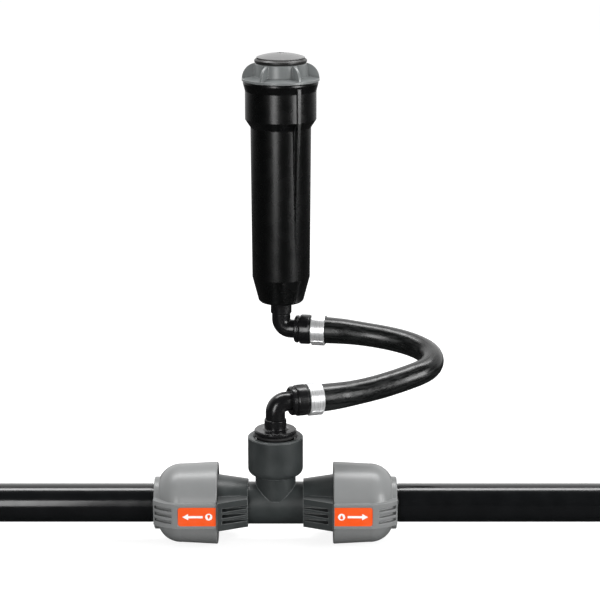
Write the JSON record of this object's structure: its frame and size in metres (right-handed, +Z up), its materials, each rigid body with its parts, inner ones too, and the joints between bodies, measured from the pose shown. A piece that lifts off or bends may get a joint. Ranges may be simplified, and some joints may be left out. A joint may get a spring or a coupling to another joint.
{
  "type": "pop-up sprinkler on swing hose and pipe tee",
  "caption": "Pop-up sprinkler on a short swing hose with swivel elbows, fed from a quick-turn clamp tee on a PE irrigation pipe.",
  "frame": {"origin": "centre of the tee, where the pipe axis meets the branch axis", "axes": "+X along the pipe towards the longer pipe stub, +Y to the back, towards the sprinkler, +Z up the branch socket"},
  "size_m": [0.415, 0.1478, 0.3066],
  "materials": {
    "pipe_black": "glossy extruded",
    "tee_plastic": "fine satin moulding",
    "nut_plastic": "satin moulding",
    "label_print": "smooth",
    "fitting_black": "semi-gloss moulding",
    "hose_rubber": "semi-gloss extruded",
    "clamp_steel": "bright rolled strip",
    "seal_rubber": "matt",
    "case_black": "satin moulding",
    "cap_grey": "satin moulding",
    "lid_grey": "satin moulding",
    "head_black": "satin moulding",
    "inner_plastic": "natural moulding",
    "riser_black": "satin moulding",
    "spring_steel": "drawn wire"
  },
  "bodies": {
    "pipeline": {"tee_body": "tee_plastic", "right_pipe": "pipe_black", "left_pipe": "pipe_black", "right_pipe_seal": "seal_rubber", "left_pipe_seal": "seal_rubber", "right_pressure_ring": "inner_plastic", "left_pressure_ring": "inner_plastic", "lower_adapter": "fitting_black", "adapter_seal": "seal_rubber"},
    "right_nut_body": {"right_nut": "nut_plastic", "right_label": "label_print"},
    "left_nut_body": {"left_nut": "nut_plastic", "left_label": "label_print"},
    "right_grip": {"right_grip_ring": "inner_plastic"},
    "left_grip": {"left_grip_ring": "inner_plastic"},
    "swing_arm": {"lower_elbow": "fitting_black", "lower_elbow_seal": "seal_rubber", "lower_collar": "fitting_black", "lower_clamp": "clamp_steel", "hose": "hose_rubber", "upper_collar": "fitting_black", "upper_clamp": "clamp_steel", "upper_elbow": "fitting_black", "upper_elbow_seal": "seal_rubber"},
    "sprinkler": {"upper_adapter": "fitting_black", "inlet_washer": "seal_rubber", "sprinkler_case": "case_black", "screw_cap": "cap_grey", "cap_gasket": "seal_rubber", "wiper_seal": "seal_rubber", "spring_seat": "inner_plastic"},
    "riser_guide": {"ratchet_ring": "inner_plastic", "return_spring": "spring_steel"},
    "riser_body": {"riser": "riser_black", "riser_foot_seal": "seal_rubber", "filter_screen": "inner_plastic", "nozzle": "head_black", "nozzle_lid": "lid_grey"},
    "pattern_ring": {"pattern_collar": "head_black"},
    "flow_adjuster": {"flow_screw": "spring_steel"}
  },
  "joints": [
    {"name": "right_nut_turn", "type": "hinge", "parent": "pipeline", "child": "right_nut_body", "pos_m": [0.058, 0, 0], "axis": [1, 0, 0], "range_deg": [0, 140]},
    {"name": "left_nut_turn", "type": "hinge", "parent": "pipeline", "child": "left_nut_body", "pos_m": [-0.058, 0, 0], "axis": [-1, 0, 0], "range_deg": [0, 140]},
    {"name": "right_grip_release", "type": "slide", "parent": "pipeline", "child": "right_grip", "axis": [1, 0, 0], "range_m": [0, 0.0015]},
    {"name": "left_grip_release", "type": "slide", "parent": "pipeline", "child": "left_grip", "axis": [-1, 0, 0], "range_m": [0, 0.0015]},
    {"name": "lower_swivel", "type": "hinge", "parent": "pipeline", "child": "swing_arm", "pos_m": [0, 0, 0.068], "axis": [0, 0, 1], "continuous": true},
    {"name": "upper_swivel", "type": "hinge", "parent": "swing_arm", "child": "sprinkler", "pos_m": [0.003, 0.094, 0.0918], "axis": [0, 0, 1], "continuous": true},
    {"name": "pop_up", "type": "slide", "parent": "sprinkler", "child": "riser_guide", "axis": [0, 0, 1], "range_m": [0, 0.09], "stiffness_N_per_m": 150, "springref_m": -0.06, "deforming": ["return_spring"]},
    {"name": "riser_turn", "type": "hinge", "parent": "riser_guide", "child": "riser_body", "pos_m": [0.003, 0.094, 0.2], "axis": [0, 0, 1], "continuous": true},
    {"name": "pattern_turn", "type": "hinge", "parent": "riser_body", "child": "pattern_ring", "pos_m": [0.003, 0.094, 0.2752], "axis": [0, 0, 1], "range_deg": [0, 330]},
    {"name": "flow_turn", "type": "hinge", "parent": "riser_body", "child": "flow_adjuster", "pos_m": [0.003, 0.094, 0.265], "axis": [0, 0, 1], "range_deg": [0, 360]}
  ],
  "couplings": [
    {"joint": "right_grip_release", "follows": "right_nut_turn", "m_per_rad": 0.000613},
    {"joint": "left_grip_release", "follows": "left_nut_turn", "m_per_rad": 0.000613}
  ]
}
